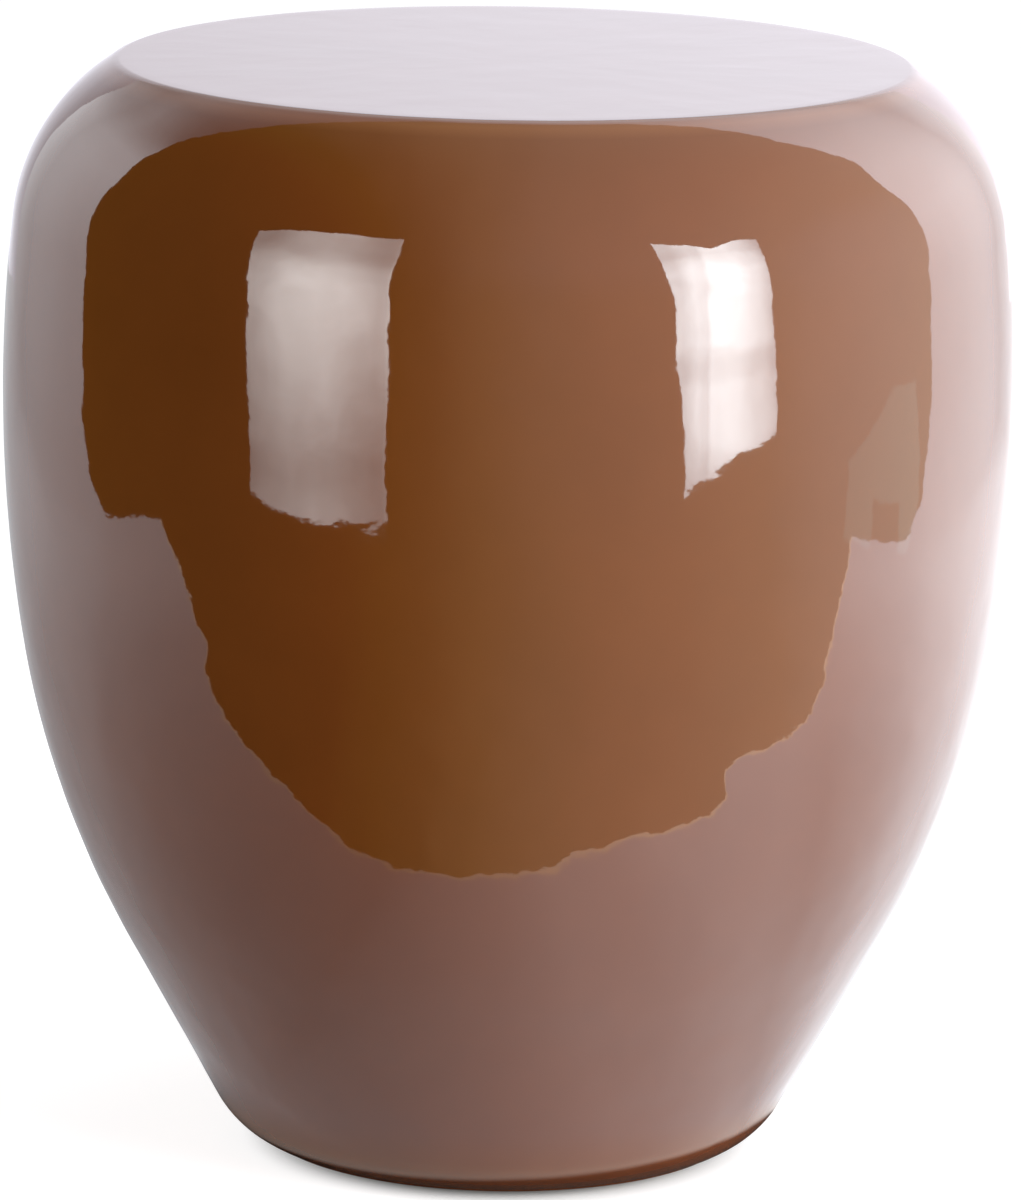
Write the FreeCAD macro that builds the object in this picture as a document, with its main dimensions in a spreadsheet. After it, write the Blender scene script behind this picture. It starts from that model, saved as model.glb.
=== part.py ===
import FreeCAD, Part
import math
import os

import Sketcher
from FreeCAD import Placement, Rotation, Vector

# Hollow stoneware stool, seat up, standing at the origin. Millimetres and degrees.
# The side is one chain of tangent arcs: crease, shoulder, girth, belly, straight taper, foot roll.
SIZES = {
    "overall_height": 450.0,  # floor to the glazed seat
    "girth_radius": 206.3,  # half the greatest width, over the glaze
    "girth_height": 316.0,  # floor to the greatest width, where the two halves meet
    "girth_arc": 647.0,  # the long arc through the greatest width
    "shoulder_arc": 84.4,  # the arc that turns in to the seat
    "rim_angle": 59.6,  # rise of the shoulder's normal where it reaches the seat
    "crease_arc": 7.5,  # rounding between shoulder and flat seat
    "belly_arc": 378.0,  # the arc between girth and straight taper
    "belly_angle": 9.04,  # fall of the normal where girth turns into belly
    "taper_angle": 28.63,  # straight side, from upright
    "foot_roll": 36.0,  # the arc that rolls under to the foot, over the glaze
    "glaze_thickness": 0.5,
    "glaze_stop": 1.5,  # bare clay above the foot, where the glaze is wiped back
    "wall_thickness": 7.0,
    "seat_thickness": 10.0,
    "inside_crease": 12.0,  # rounding inside, between seat and wall
    "inside_foot": 26.0,  # rounding inside, between wall and base
    "base_thickness": 7.0,
    "base_recess": 3.0,  # how far the base stands above the foot ring
    "ring_radius": 62.0,  # inner edge of the foot ring
    "ring_edge": 1.2,  # sponged edge of the foot ring
    "hole_radius": 50.0,  # hand hole, which also vents the hollow in the kiln
    "hole_edge": 2.5,  # sponged edges of the hand hole
    "lap_height": 6.0,  # step of the joint between the halves
    "slip_thickness": 0.8,
    "coil_radius": 9.0,  # section of the clay coil before it is pressed on
    "coil_sink": 4.0,  # how far the coil's middle is pressed into the wall
    "felt_thickness": 2.7,
    "adhesive_thickness": 0.3,
    "pad_radius": 9.0,
    "adhesive_inset": 0.5,  # how far the adhesive stays inside the felt's edge
    "pad_pitch": 74.0,  # from the axis to the middle of a felt pad
}

# Heights and radii that several pieces share, as formulas on the sheet.
FOOT = "(Sizes.felt_thickness + Sizes.adhesive_thickness)"
FLOOR = f"({FOOT} + Sizes.base_recess + Sizes.base_thickness)"
CLAY_INSET = "Sizes.glaze_thickness"
HOLLOW_INSET = "(Sizes.glaze_thickness + Sizes.wall_thickness)"
CLEAR_RADIUS = "(Sizes.girth_radius + Sizes.wall_thickness)"
CLEAR_TOP = "(Sizes.overall_height + Sizes.wall_thickness)"
LAP_RADIUS = "(Sizes.girth_radius - Sizes.glaze_thickness - Sizes.wall_thickness / 2)"
PAD_ANGLES = [45.0, 135.0, 225.0, 315.0]

doc = FreeCAD.newDocument("stool")
sheet = doc.addObject("Spreadsheet::Sheet", "Sizes")
for row, (alias, size) in enumerate(SIZES.items(), start=1):
    sheet.set(f"A{row}", alias)
    sheet.set(f"B{row}", str(size))
    sheet.setAlias(f"B{row}", alias)
doc.recompute()


def number(formula):
    """The value of a formula on the sheet."""
    return float(sheet.evalExpression(formula))


def new_body(label):
    """An empty body whose label names the piece."""
    body = doc.addObject("PartDesign::Body", label)
    body.Label = label
    return body


def new_sketch(body, name, role):
    """A sketch on one of the body's own origin planes."""
    sketch = body.newObject("Sketcher::SketchObject", name)
    plane = next(item for item in body.Origin.OriginFeatures if item.Role == role)
    sketch.AttachmentSupport = [(plane, "")]
    sketch.MapMode = "FlatFace"
    return sketch


def bind(sketch, name, formula, kind, *where):
    """A named dimension of the sketch, tied to a formula on the sheet."""
    sketch.addConstraint(Sketcher.Constraint(kind, *where, start_value(kind, formula)))
    sketch.renameConstraint(sketch.ConstraintCount - 1, name)
    sketch.setExpression(f"Constraints.{name}", formula)


def start_value(kind, formula):
    """A dimension's first value: angles go in as radians."""
    if kind == "Angle":
        return math.radians(number(formula))
    return number(formula)


def arc(centre, radius, start, end):
    """A circular arc in the sketch plane, anticlockwise between two angles in radians."""
    circle = Part.Circle(Vector(centre[0], centre[1], 0), Vector(0, 0, 1), radius)
    return Part.ArcOfCircle(circle, start, end)


def line(start, end):
    """A straight edge in the sketch plane."""
    return Part.LineSegment(Vector(start[0], start[1], 0), Vector(end[0], end[1], 0))


def along(centre, distance, angle):
    """The point at a distance and an angle in radians from a centre."""
    return centre[0] + distance * math.cos(angle), centre[1] + distance * math.sin(angle)


def form_sketch(body, name, inset, top, crease, bottom, foot):
    """The stool's half outline, moved in by an inset, closed along the axis."""
    sketch = new_sketch(body, name, "XZ_Plane")
    shift = number(inset)
    girth_arc = number("Sizes.girth_arc")
    belly_arc = number("Sizes.belly_arc")
    shoulder_arc = number("Sizes.shoulder_arc")
    belly_fall = -math.radians(number("Sizes.belly_angle"))
    taper_fall = -math.radians(number("Sizes.taper_angle"))

    girth_mid = (number("Sizes.girth_radius") - girth_arc, number("Sizes.girth_height"))
    shoulder_z = "Sizes.overall_height - Sizes.shoulder_arc * sin(Sizes.rim_angle)"
    shoulder_rise = math.asin((number(shoulder_z) - girth_mid[1]) / (girth_arc - shoulder_arc))
    shoulder_mid = along(girth_mid, girth_arc - shoulder_arc, shoulder_rise)
    belly_mid = along(girth_mid, girth_arc - belly_arc, belly_fall)
    crease_radius = number(crease)
    crease_z = number(top) - crease_radius
    crease_reach = shoulder_arc - shift - crease_radius
    crease_rise = math.asin((crease_z - shoulder_mid[1]) / crease_reach)
    crease_mid = along(shoulder_mid, crease_reach, crease_rise)
    taper_top = along(belly_mid, belly_arc - shift, taper_fall)
    foot_radius = number(foot)
    foot_z = number(bottom) + foot_radius
    inner_top = along(taper_top, -foot_radius, taper_fall)
    foot_mid = (inner_top[0] + (inner_top[1] - foot_z) * math.tan(taper_fall), foot_z)
    taper_end = along(foot_mid, foot_radius, taper_fall)

    sketch.addGeometry([
        line((0, number(top)), (crease_mid[0], number(top))),
        arc(crease_mid, crease_radius, crease_rise, math.pi / 2),
        arc(shoulder_mid, shoulder_arc - shift, shoulder_rise, crease_rise),
        arc(girth_mid, girth_arc - shift, belly_fall, shoulder_rise),
        arc(belly_mid, belly_arc - shift, taper_fall, belly_fall),
        line(taper_end, taper_top),
        arc(foot_mid, foot_radius, -math.pi / 2, taper_fall),
        line((foot_mid[0], number(bottom)), (0, number(bottom))),
        line((0, number(bottom)), (0, number(top))),
    ])
    seat, rim, shoulder, girth, belly, taper, roll, base, axis = range(9)
    tangent_ends = [
        (seat, 2, rim, 2), (rim, 1, shoulder, 2), (shoulder, 1, girth, 2), (girth, 1, belly, 2),
        (belly, 1, taper, 2), (taper, 1, roll, 2), (roll, 1, base, 1),
    ]
    for ends in tangent_ends:
        sketch.addConstraint(Sketcher.Constraint("Tangent", *ends))
    sketch.addConstraint([
        Sketcher.Constraint("Coincident", base, 2, axis, 1),
        Sketcher.Constraint("Coincident", axis, 2, seat, 1),
        Sketcher.Constraint("PointOnObject", axis, 1, -2),
        Sketcher.Constraint("PointOnObject", axis, 2, -2),
        Sketcher.Constraint("Horizontal", seat),
        Sketcher.Constraint("Horizontal", base),
    ])
    bind(sketch, "top", top, "DistanceY", -1, 1, seat, 1)
    bind(sketch, "bottom", bottom, "DistanceY", -1, 1, base, 2)
    bind(sketch, "crease_radius", crease, "Radius", rim)
    bind(sketch, "foot_radius", foot, "Radius", roll)
    bind(sketch, "shoulder_radius", f"Sizes.shoulder_arc - {inset}", "Radius", shoulder)
    bind(sketch, "girth_curve", f"Sizes.girth_arc - {inset}", "Radius", girth)
    bind(sketch, "belly_radius", f"Sizes.belly_arc - {inset}", "Radius", belly)
    bind(sketch, "girth_back", "Sizes.girth_arc - Sizes.girth_radius", "DistanceX", girth, 3, -1, 1)
    bind(sketch, "girth_level", "Sizes.girth_height", "DistanceY", -1, 1, girth, 3)
    bind(sketch, "shoulder_level", shoulder_z, "DistanceY", -1, 1, shoulder, 3)
    belly_z = "Sizes.girth_height - (Sizes.girth_arc - Sizes.belly_arc) * sin(Sizes.belly_angle)"
    bind(sketch, "belly_level", belly_z, "DistanceY", -1, 1, belly, 3)
    bind(sketch, "taper_rise", "90 - Sizes.taper_angle", "Angle", taper)
    return sketch


def square_sketch(body, name, corners):
    """A closed outline of upright and level edges, the first one level, from corner formulas."""
    sketch = new_sketch(body, name, "XZ_Plane")
    places = [(number(x), number(z)) for x, z in corners]
    count = len(corners)
    for i in range(count):
        sketch.addGeometry(line(places[i], places[(i + 1) % count]))
    for i in range(count):
        sketch.addConstraint(Sketcher.Constraint("Coincident", i, 2, (i + 1) % count, 1))
    for i, (x, z) in enumerate(corners):
        level = i % 2 == 0
        sketch.addConstraint(Sketcher.Constraint("Horizontal" if level else "Vertical", i))
        formula = z if level else x
        if formula == "0":
            sketch.addConstraint(Sketcher.Constraint("PointOnObject", i, 1, -1 if level else -2))
        elif level:
            bind(sketch, f"level_{i}", formula, "DistanceY", -1, 1, i, 1)
        else:
            bind(sketch, f"upright_{i}", formula, "DistanceX", -1, 1, i, 1)
    return sketch


def spin(body, kind, sketch, name):
    """A full turn of the sketch about the upright axis, added to the body or cut from it."""
    feature = body.newObject(f"PartDesign::{kind}", name)
    feature.Profile = sketch
    feature.ReferenceAxis = (sketch, ["V_Axis"])
    feature.Angle = 360
    body.Tip = feature
    before = 0.0 if kind == "Revolution" else feature.BaseFeature.Shape.Volume
    doc.recompute()
    grown = feature.Shape.Volume - before
    if (grown > 0) != (kind == "Revolution"):
        raise ValueError(f"{body.Label}: {name} changed the volume by {grown:.1f}")
    return feature


def clay_form(body):
    """The fired clay: its outline under the glaze, hollowed to the wall, seat and base."""
    outline = form_sketch(
        body, "outline", CLAY_INSET, f"Sizes.overall_height - {CLAY_INSET}",
        f"Sizes.crease_arc - {CLAY_INSET}", FOOT, f"Sizes.foot_roll - {CLAY_INSET}")
    spin(body, "Revolution", outline, "form")
    hollow = form_sketch(
        body, "hollow_outline", HOLLOW_INSET,
        f"Sizes.overall_height - {CLAY_INSET} - Sizes.seat_thickness",
        "Sizes.inside_crease", FLOOR, "Sizes.inside_foot")
    spin(body, "Groove", hollow, "hollow")


def cut_step(body, name, far, gap):
    """Takes off the clay from a far level to the stepped joint, lowered by a gap."""
    seam = f"Sizes.girth_height - {gap}"
    lap = f"Sizes.girth_height + Sizes.lap_height - {gap}"
    radius = f"{LAP_RADIUS} - {gap}"
    corners = [
        ("0", far), (CLEAR_RADIUS, far), (CLEAR_RADIUS, seam),
        (radius, seam), (radius, lap), ("0", lap),
    ]
    spin(body, "Groove", square_sketch(body, f"{name}_outline", corners), name)


def cut_rectangle(body, name, radius, top):
    """Takes off everything from the axis to a radius and from the floor to a height."""
    corners = [("0", "0"), (radius, "0"), (radius, top), ("0", top)]
    spin(body, "Groove", square_sketch(body, f"{name}_outline", corners), name)


def circle_names(shape, places):
    """The names of the level circular edges with these radii and heights."""
    names = []
    for count, edge in enumerate(shape.Edges, start=1):
        if edge.Curve.TypeId != "Part::GeomCircle":
            continue
        for radius, height in places:
            if math.dist((edge.Curve.Radius, edge.Curve.Center.z), (radius, height)) < 1e-4:
                names.append(f"Edge{count}")
    return names


def round_edges(body, name, size, places):
    """Rounds the level circular edges with these radii and heights."""
    base = body.Tip
    fillet = body.newObject("PartDesign::Fillet", name)
    fillet.Base = (base, circle_names(base.Shape, places))
    fillet.setExpression("Radius", size)
    body.Tip = fillet
    doc.recompute()


def seat_shell():
    """Upper half: seat, shoulder and the wall down to the joint."""
    body = new_body("seat_shell")
    clay_form(body)
    cut_step(body, "joint", "0", "0")
    return body


def lower_shell():
    """Lower half: tapered wall, rolled foot and the base with its ring and hand hole."""
    body = new_body("lower_shell")
    clay_form(body)
    cut_step(body, "joint", CLEAR_TOP, "Sizes.slip_thickness")
    cut_rectangle(body, "recess", "Sizes.ring_radius", f"{FOOT} + Sizes.base_recess")
    cut_rectangle(body, "hand_hole", "Sizes.hole_radius", f"{FLOOR} + Sizes.base_thickness")
    hole = number("Sizes.hole_radius")
    underside = number(f"{FOOT} + Sizes.base_recess")
    hole_places = [(hole, underside), (hole, number(FLOOR))]
    round_edges(body, "hole_edges", "min(Sizes.hole_edge; 0.45 * Sizes.base_thickness)", hole_places)
    ring_places = [(number("Sizes.ring_radius"), number(FOOT))]
    round_edges(body, "ring_edge", "min(Sizes.ring_edge; 0.45 * Sizes.base_recess)", ring_places)
    return body


def seam_slip():
    """The fired slip that fills the stepped joint from the glaze to the hollow."""
    body = new_body("seam_slip")
    clay_form(body)
    cut_step(body, "upper_side", CLEAR_TOP, "0")
    cut_step(body, "lower_side", "0", "Sizes.slip_thickness")
    return body


def seam_coil():
    """The coil of clay pressed over the joint from inside, its back on the wall."""
    body = new_body("seam_coil")
    sketch = new_sketch(body, "section", "XZ_Plane")
    middle_x = f"Sizes.girth_radius - {HOLLOW_INSET} + Sizes.coil_sink"
    middle_z = "Sizes.girth_height + (Sizes.lap_height - Sizes.slip_thickness) / 2"
    wall_curve = f"Sizes.girth_arc - {HOLLOW_INSET}"
    wall_mid = (number("Sizes.girth_radius - Sizes.girth_arc"), number("Sizes.girth_height"))
    coil_mid = (number(middle_x), number(middle_z))
    wall_radius = number(wall_curve)
    coil_radius = number("Sizes.coil_radius")
    reach = math.dist(wall_mid, coil_mid)
    heading = math.atan2(coil_mid[1] - wall_mid[1], coil_mid[0] - wall_mid[0])
    spread = math.acos((wall_radius**2 + reach**2 - coil_radius**2) / (2 * wall_radius * reach))
    low = along(wall_mid, wall_radius, heading - spread)
    high = along(wall_mid, wall_radius, heading + spread)
    start = math.atan2(high[1] - coil_mid[1], high[0] - coil_mid[0])
    end = math.atan2(low[1] - coil_mid[1], low[0] - coil_mid[0]) + 2 * math.pi
    sketch.addGeometry([
        arc(wall_mid, wall_radius, heading - spread, heading + spread),
        arc(coil_mid, coil_radius, start, end),
    ])
    back, front = range(2)
    sketch.addConstraint(Sketcher.Constraint("Coincident", back, 2, front, 1))
    sketch.addConstraint(Sketcher.Constraint("Coincident", front, 2, back, 1))
    bind(sketch, "wall_curve", wall_curve, "Radius", back)
    bind(sketch, "wall_back", "Sizes.girth_arc - Sizes.girth_radius", "DistanceX", back, 3, -1, 1)
    bind(sketch, "wall_level", "Sizes.girth_height", "DistanceY", -1, 1, back, 3)
    bind(sketch, "coil_radius", "Sizes.coil_radius", "Radius", front)
    bind(sketch, "coil_middle", middle_x, "DistanceX", -1, 1, front, 3)
    bind(sketch, "coil_level", middle_z, "DistanceY", -1, 1, front, 3)
    spin(body, "Revolution", sketch, "coil")
    return body


def glaze_coat():
    """The glaze: one skin over the whole outside, wiped back just above the foot."""
    body = new_body("glaze_coat")
    outline = form_sketch(
        body, "outline", "0", "Sizes.overall_height", "Sizes.crease_arc",
        f"{FOOT} - {CLAY_INSET}", "Sizes.foot_roll")
    spin(body, "Revolution", outline, "form")
    clay = form_sketch(
        body, "clay_outline", CLAY_INSET, f"Sizes.overall_height - {CLAY_INSET}",
        f"Sizes.crease_arc - {CLAY_INSET}", FOOT, f"Sizes.foot_roll - {CLAY_INSET}")
    spin(body, "Groove", clay, "clay")
    cut_rectangle(body, "wiped_foot", CLEAR_RADIUS, f"{FOOT} + Sizes.glaze_stop")
    return body


def disc(label, radius, bottom, thickness, angle):
    """A flat disc under the foot ring, at an angle about the upright axis."""
    body = new_body(label)
    sketch = new_sketch(body, "outline", "XY_Plane")
    if bottom != "0":
        sketch.setExpression("AttachmentOffset.Base.z", bottom)
    middle = Vector(number("Sizes.pad_pitch"), 0, 0)
    sketch.addGeometry(Part.Circle(middle, Vector(0, 0, 1), number(radius)))
    sketch.addConstraint(Sketcher.Constraint("PointOnObject", 0, 3, -1))
    bind(sketch, "disc_radius", radius, "Radius", 0)
    bind(sketch, "pitch", "Sizes.pad_pitch", "DistanceX", -1, 1, 0, 3)
    pad = body.newObject("PartDesign::Pad", "disc")
    pad.Profile = sketch
    pad.setExpression("Length", thickness)
    body.Tip = pad
    body.Placement = Placement(Vector(0, 0, 0), Rotation(Vector(0, 0, 1), angle))
    doc.recompute()
    return body


pieces = [seat_shell(), lower_shell(), seam_slip(), seam_coil(), glaze_coat()]
for place, pad_angle in enumerate(PAD_ANGLES, start=1):
    pieces.append(disc(
        f"floor_pad_{place}", "Sizes.pad_radius", "0", "Sizes.felt_thickness", pad_angle))
    pieces.append(disc(
        f"pad_adhesive_{place}", "Sizes.pad_radius - Sizes.adhesive_inset",
        "Sizes.felt_thickness", "Sizes.adhesive_thickness", pad_angle))

doc.recompute()
for item in doc.Objects:
    if "Invalid" in item.State or "Error" in item.State:
        raise ValueError(f"{item.Label} failed: {item.State}")
for piece in pieces:
    if piece.Shape.isNull() or not piece.Shape.isValid() or len(piece.Shape.Solids) != 1:
        raise ValueError(f"{piece.Label} isn't one valid solid")

os.makedirs("parts", exist_ok=True)
for piece in pieces:
    piece.Shape.exportStep(f"parts/{piece.Label}.step")
    print(f"{piece.Label}: {piece.Shape.Volume / 1000:.2f} cm3")
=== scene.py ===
from math import acos, asin, atan2, cos, dist, pi, radians, sin, tan

import bpy
from mathutils import Matrix, Vector


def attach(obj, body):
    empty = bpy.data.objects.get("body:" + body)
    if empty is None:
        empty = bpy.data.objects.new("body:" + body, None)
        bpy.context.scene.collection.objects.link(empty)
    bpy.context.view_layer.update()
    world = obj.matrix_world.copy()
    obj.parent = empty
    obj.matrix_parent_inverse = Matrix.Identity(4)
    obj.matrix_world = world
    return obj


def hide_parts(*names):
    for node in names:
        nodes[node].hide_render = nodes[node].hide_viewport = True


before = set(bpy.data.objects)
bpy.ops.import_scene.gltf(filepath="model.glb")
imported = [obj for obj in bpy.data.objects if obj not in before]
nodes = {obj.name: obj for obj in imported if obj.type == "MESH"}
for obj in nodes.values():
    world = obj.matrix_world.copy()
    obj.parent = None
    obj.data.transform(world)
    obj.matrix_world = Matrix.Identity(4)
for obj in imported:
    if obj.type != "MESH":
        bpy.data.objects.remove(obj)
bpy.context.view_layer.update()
mm = 0.001
print("frame loaded:", len(nodes), "pieces")


# Small helpers

def hexColour(text):
    # sRGB hex to the linear values that shaders work in
    linear = []
    for start in (1, 3, 5):
        value = int(text[start:start + 2], 16) / 255
        linear.append(value / 12.92 if value <= 0.04045 else ((value + 0.055) / 1.055) ** 2.4)
    return (*linear, 1.0)


def addNode(tree, kind, inputs=None, **settings):
    # one node with its settings; an input is a plain value or another node's output
    node = tree.nodes.new(kind)
    for name, value in settings.items():
        setattr(node, name, value)
    for socket, value in (inputs or {}).items():
        if isinstance(value, bpy.types.NodeSocket):
            tree.links.new(value, node.inputs[socket])
        else:
            node.inputs[socket].default_value = value
    return node


def newMaterial(name):
    material = bpy.data.materials.new(name)
    material.use_nodes = True
    material.node_tree.nodes.clear()
    return material, material.node_tree


def finishMaterial(tree, shader):
    addNode(tree, "ShaderNodeOutputMaterial", {"Surface": shader})


def fillRamp(ramp, stops):
    # stops as (position, grey) or (position, red, green, blue)
    items = ramp.color_ramp.elements
    while len(items) > 1:
        items.remove(items[-1])
    for i, stop in enumerate(stops):
        item = items[0] if i == 0 else items.new(stop[0])
        item.position = stop[0]
        values = stop[1:] if len(stop) == 4 else (stop[1],) * 3
        item.color = (*values, 1.0)


def linkObject(name, mesh):
    piece = bpy.data.objects.new(name, mesh)
    bpy.context.scene.collection.objects.link(piece)
    return piece


# Outline of the stool: the same chain of tangent arcs that the solids follow

stool = {
    "height": 450.0,
    "girthRadius": 206.3,
    "girthHeight": 316.0,
    "girthArc": 647.0,
    "shoulderArc": 84.4,
    "rimAngle": 59.6,
    "creaseArc": 7.5,
    "bellyArc": 378.0,
    "bellyAngle": 9.04,
    "taperAngle": 28.63,
    "footRoll": 36.0,
    "footHeight": 3.0,
    "glazeThickness": 0.5,
    "glazeStop": 1.5,
}


def along(centre, distance, angle):
    return centre[0] + distance * cos(angle), centre[1] + distance * sin(angle)


def arcRows(centre, radius, start, end, step):
    # points on an arc from start to end, about a step apart, without the first one
    count = max(2, round(abs(end - start) * radius / step))
    return [along(centre, radius, start + (end - start) * i / count) for i in range(1, count + 1)]


def outline(inset, coarse=1.0):
    # half outline from the seat's middle to where the glaze stops, moved in by an inset
    s = stool
    girth = (s["girthRadius"] - s["girthArc"], s["girthHeight"])
    shoulderZ = s["height"] - s["shoulderArc"] * sin(radians(s["rimAngle"]))
    shoulderRise = asin((shoulderZ - girth[1]) / (s["girthArc"] - s["shoulderArc"]))
    shoulder = along(girth, s["girthArc"] - s["shoulderArc"], shoulderRise)
    bellyFall = -radians(s["bellyAngle"])
    taperFall = -radians(s["taperAngle"])
    belly = along(girth, s["girthArc"] - s["bellyArc"], bellyFall)
    crease = s["creaseArc"]
    creaseZ = s["height"] - crease
    creaseReach = s["shoulderArc"] - crease
    creaseRise = asin((creaseZ - shoulder[1]) / creaseReach)
    creaseMid = along(shoulder, creaseReach, creaseRise)
    roll = s["footRoll"]
    rollZ = s["footHeight"] - s["glazeThickness"] + roll
    taperTop = along(belly, s["bellyArc"] - roll, taperFall)
    rollMid = (taperTop[0] + (taperTop[1] - rollZ) * tan(taperFall), rollZ)
    stop = -asin((rollZ - s["footHeight"] - s["glazeStop"]) / (roll - inset))
    seatRows = round(creaseMid[0] / (5.5 * coarse))
    points = [(creaseMid[0] * i / seatRows, s["height"] - inset) for i in range(seatRows + 1)]
    points += arcRows(creaseMid, crease - inset, pi / 2, creaseRise, 0.6 * coarse)
    points += arcRows(shoulder, s["shoulderArc"] - inset, creaseRise, shoulderRise, 2.8 * coarse)
    points += arcRows(girth, s["girthArc"] - inset, shoulderRise, bellyFall, 3.2 * coarse)
    points += arcRows(belly, s["bellyArc"] - inset, bellyFall, taperFall, 3.2 * coarse)
    taperEnd = along(rollMid, roll - inset, taperFall)
    top = points[-1]
    steps = round(24 / coarse)
    points += [
        (top[0] + (taperEnd[0] - top[0]) * i / steps, top[1] + (taperEnd[1] - top[1]) * i / steps)
        for i in range(1, steps + 1)
    ]
    points += arcRows(rollMid, roll - inset, taperFall, stop, 1.8 * coarse)
    return points


def rowMesh(name, rows):
    # a line of points in the XZ plane, each with its share of the waviness
    mesh = bpy.data.meshes.new(name)
    edges = [(i, i + 1) for i in range(len(rows) - 1)]
    mesh.from_pydata([(r * mm, 0, z * mm) for r, z, share in rows], edges, [])
    share = mesh.attributes.new("waveShare", "FLOAT", "POINT")
    for i, row in enumerate(rows):
        share.data[i].value = row[2]
    return mesh


# Geometry Nodes: turn a line of rows round the Z axis, with waves pushed into the surface

def addInput(tree, name, kind, value=None):
    socket = tree.interface.new_socket(name, in_out="INPUT", socket_type=kind)
    if value is not None:
        socket.default_value = value


def lathe():
    tree = bpy.data.node_groups.new("lathe", "GeometryNodeTree")
    addInput(tree, "Rows", "NodeSocketGeometry")
    addInput(tree, "Segments", "NodeSocketInt", 400)
    addInput(tree, "Long wave", "NodeSocketFloat", 0.05)
    addInput(tree, "Long depth", "NodeSocketFloat", 0.0001)
    addInput(tree, "Short wave", "NodeSocketFloat", 0.015)
    addInput(tree, "Short depth", "NodeSocketFloat", 0.00003)
    addInput(tree, "Seed", "NodeSocketFloat", 1.0)
    addInput(tree, "Material", "NodeSocketMaterial")
    tree.interface.new_socket("Geometry", in_out="OUTPUT", socket_type="NodeSocketGeometry")
    given = addNode(tree, "NodeGroupInput").outputs
    size = addNode(
        tree, "GeometryNodeAttributeDomainSize", {"Geometry": given["Rows"]}, component="MESH"
    )
    across = addNode(
        tree, "ShaderNodeMath", {0: given["Segments"], 1: 1.0}, operation="ADD"
    ).outputs[0]
    grid = addNode(
        tree, "GeometryNodeMeshGrid",
        {"Vertices X": size.outputs["Point Count"], "Vertices Y": across},
    )
    index = addNode(tree, "GeometryNodeInputIndex").outputs[0]
    share = addNode(tree, "ShaderNodeMath", {0: index, 1: across}, operation="DIVIDE")
    row = addNode(tree, "ShaderNodeMath", {0: share.outputs[0]}, operation="FLOOR").outputs[0]
    column = addNode(tree, "ShaderNodeMath", {0: index, 1: across}, operation="MODULO").outputs[0]
    part = addNode(
        tree, "ShaderNodeMath", {0: column, 1: given["Segments"]}, operation="DIVIDE"
    ).outputs[0]
    angle = addNode(tree, "ShaderNodeMath", {0: part, 1: 2 * pi}, operation="MULTIPLY").outputs[0]
    place = addNode(
        tree, "GeometryNodeSampleIndex",
        {
            "Geometry": given["Rows"],
            "Value": addNode(tree, "GeometryNodeInputPosition").outputs[0],
            "Index": row,
        },
        data_type="FLOAT_VECTOR",
    )
    turned = addNode(
        tree, "ShaderNodeVectorRotate", {"Vector": place.outputs[0], "Angle": angle},
        rotation_type="Z_AXIS",
    )
    named = addNode(tree, "GeometryNodeInputNamedAttribute", {"Name": "waveShare"})
    wave = addNode(
        tree, "GeometryNodeSampleIndex",
        {"Geometry": given["Rows"], "Value": named.outputs[0], "Index": row},
    ).outputs[0]
    spun = addNode(
        tree, "GeometryNodeSetPosition",
        {"Geometry": grid.outputs["Mesh"], "Position": turned.outputs[0]},
    )
    kept = addNode(
        tree, "GeometryNodeStoreNamedAttribute",
        {"Geometry": spun.outputs[0], "Name": "waveShare", "Value": wave},
        data_type="FLOAT", domain="POINT",
    )
    merged = addNode(
        tree, "GeometryNodeMergeByDistance", {"Geometry": kept.outputs[0], "Distance": 0.000008}
    )
    depth = None
    for label, seedShift in (("Long", 0.0), ("Short", 7.3)):
        scale = addNode(
            tree, "ShaderNodeMath", {0: 1.0, 1: given[label + " wave"]}, operation="DIVIDE"
        )
        seed = addNode(
            tree, "ShaderNodeMath", {0: given["Seed"], 1: seedShift}, operation="ADD"
        )
        noise = addNode(
            tree, "ShaderNodeTexNoise",
            {"Scale": scale.outputs[0], "W": seed.outputs[0], "Detail": 1.5, "Roughness": 0.5},
            noise_dimensions="4D",
        )
        push = addNode(
            tree, "ShaderNodeMapRange",
            {
                "Value": noise.outputs[0], "From Min": 0.28, "From Max": 0.72,
                "To Min": 0.0, "To Max": given[label + " depth"],
            },
        ).outputs[0]
        depth = push if depth is None else addNode(
            tree, "ShaderNodeMath", {0: depth, 1: push}, operation="ADD"
        ).outputs[0]
    named = addNode(tree, "GeometryNodeInputNamedAttribute", {"Name": "waveShare"})
    inward = addNode(
        tree, "ShaderNodeMath", {0: depth, 1: named.outputs[0]}, operation="MULTIPLY"
    )
    inward = addNode(
        tree, "ShaderNodeMath", {0: inward.outputs[0], 1: -1.0}, operation="MULTIPLY"
    )
    offset = addNode(
        tree, "ShaderNodeVectorMath",
        {0: addNode(tree, "GeometryNodeInputNormal").outputs[0], "Scale": inward.outputs[0]},
        operation="SCALE",
    )
    waved = addNode(
        tree, "GeometryNodeSetPosition",
        {"Geometry": merged.outputs[0], "Offset": offset.outputs[0]},
    )
    smooth = addNode(tree, "GeometryNodeSetShadeSmooth", {"Geometry": waved.outputs[0]})
    real = addNode(tree, "GeometryNodeRealizeInstances", {"Geometry": smooth.outputs[0]})
    finish = addNode(
        tree, "GeometryNodeSetMaterial",
        {"Geometry": real.outputs[0], "Material": given["Material"]},
    )
    addNode(tree, "NodeGroupOutput", {0: finish.outputs[0]})
    return tree


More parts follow.
